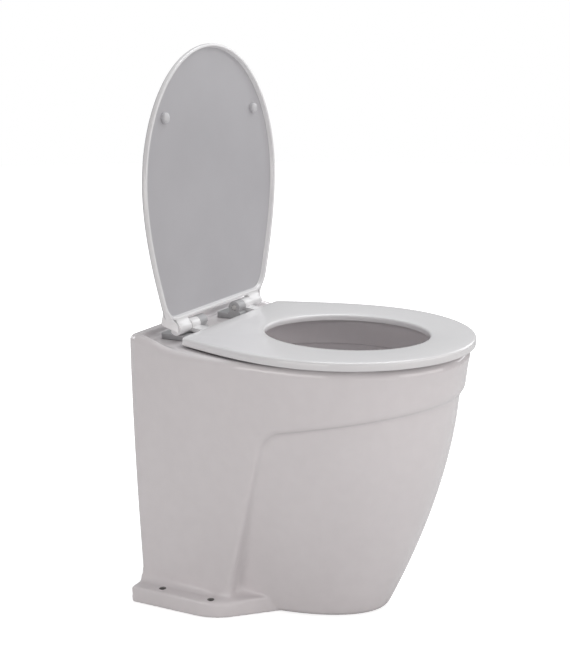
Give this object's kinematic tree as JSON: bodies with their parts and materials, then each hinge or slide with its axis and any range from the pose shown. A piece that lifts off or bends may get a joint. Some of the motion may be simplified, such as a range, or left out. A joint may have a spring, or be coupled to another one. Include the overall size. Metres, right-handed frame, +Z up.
{
  "type": "marine toilet",
  "caption": "White ceramic marine toilet with a slow-closing seat and lid, and a macerator pump in its open rear.",
  "frame": {"origin": "on the floor, under the middle of the outline", "axes": "+Z up, -Y towards the front of the bowl, +X to the right as seen from the front"},
  "size_m": [0.36, 0.447, 0.7935],
  "materials": {
    "glazed_ceramic": "glazed white vitreous china",
    "seat_plastic": "polished white thermoset",
    "hinge_plastic": "satin grey moulding",
    "white_plastic": "satin white",
    "black_plastic": "satin black",
    "rubber": "matt black rubber",
    "stainless": "stainless steel",
    "brass": "plain brass",
    "motor_paint": "dark painted steel"
  },
  "bodies": {
    "toilet_base": {"cable_gland": "black_plastic", "ceramic_bowl": "glazed_ceramic", "cradle_bolt_left": "stainless", "cradle_bolt_right": "stainless", "discharge_elbow": "black_plastic", "flush_hose": "rubber", "hinge_post_left": "hinge_plastic", "hinge_post_right": "hinge_plastic", "hinge_stud_left": "stainless", "hinge_stud_right": "stainless", "hinge_washer_left": "rubber", "hinge_washer_right": "rubber", "hose_clip": "stainless", "joker_valve": "rubber", "lid_damper": "stainless", "motor_bearing": "stainless", "motor_can": "motor_paint", "motor_cradle": "black_plastic", "motor_end_cap": "black_plastic", "motor_strap": "stainless", "nozzle_nut": "brass", "outlet_hose_tail": "black_plastic", "pump_cover": "black_plastic", "pump_housing": "black_plastic", "seat_damper": "stainless", "shaft_seal": "rubber", "solenoid_coil": "black_plastic", "solenoid_valve_body": "white_plastic", "strap_bolt_left": "stainless", "strap_bolt_right": "stainless", "sump_bolt_1": "stainless", "sump_bolt_2": "stainless", "sump_bolt_3": "stainless", "sump_bolt_4": "stainless", "sump_gasket": "rubber", "valve_bracket": "stainless", "wash_nozzle": "white_plastic", "wing_nut_left": "white_plastic", "wing_nut_right": "white_plastic"},
    "seat": {"seat_ring": "seat_plastic", "seat_front_buffer_left": "white_plastic", "seat_front_buffer_right": "white_plastic", "seat_rear_buffer_left": "white_plastic", "seat_rear_buffer_right": "white_plastic"},
    "lid": {"lid_cover": "seat_plastic", "lid_buffer_left": "white_plastic", "lid_buffer_right": "white_plastic"},
    "pump_rotor": {"motor_shaft": "stainless", "impeller": "black_plastic", "cutter_blade": "stainless", "blade_nut": "stainless"}
  },
  "joints": [
    {"name": "seat_hinge", "type": "hinge", "parent": "toilet_base", "child": "seat", "pos_m": [0, 0.1645, 0.4055], "axis": [-1, 0, 0], "range_deg": [0, 90]},
    {"name": "lid_hinge", "type": "hinge", "parent": "toilet_base", "child": "lid", "pos_m": [0, 0.1645, 0.4055], "axis": [-1, 0, 0], "range_deg": [-91, 0]},
    {"name": "pump_spin", "type": "hinge", "parent": "toilet_base", "child": "pump_rotor", "pos_m": [0, 0.037, 0.088], "axis": [0, 1, 0], "continuous": true}
  ]
}
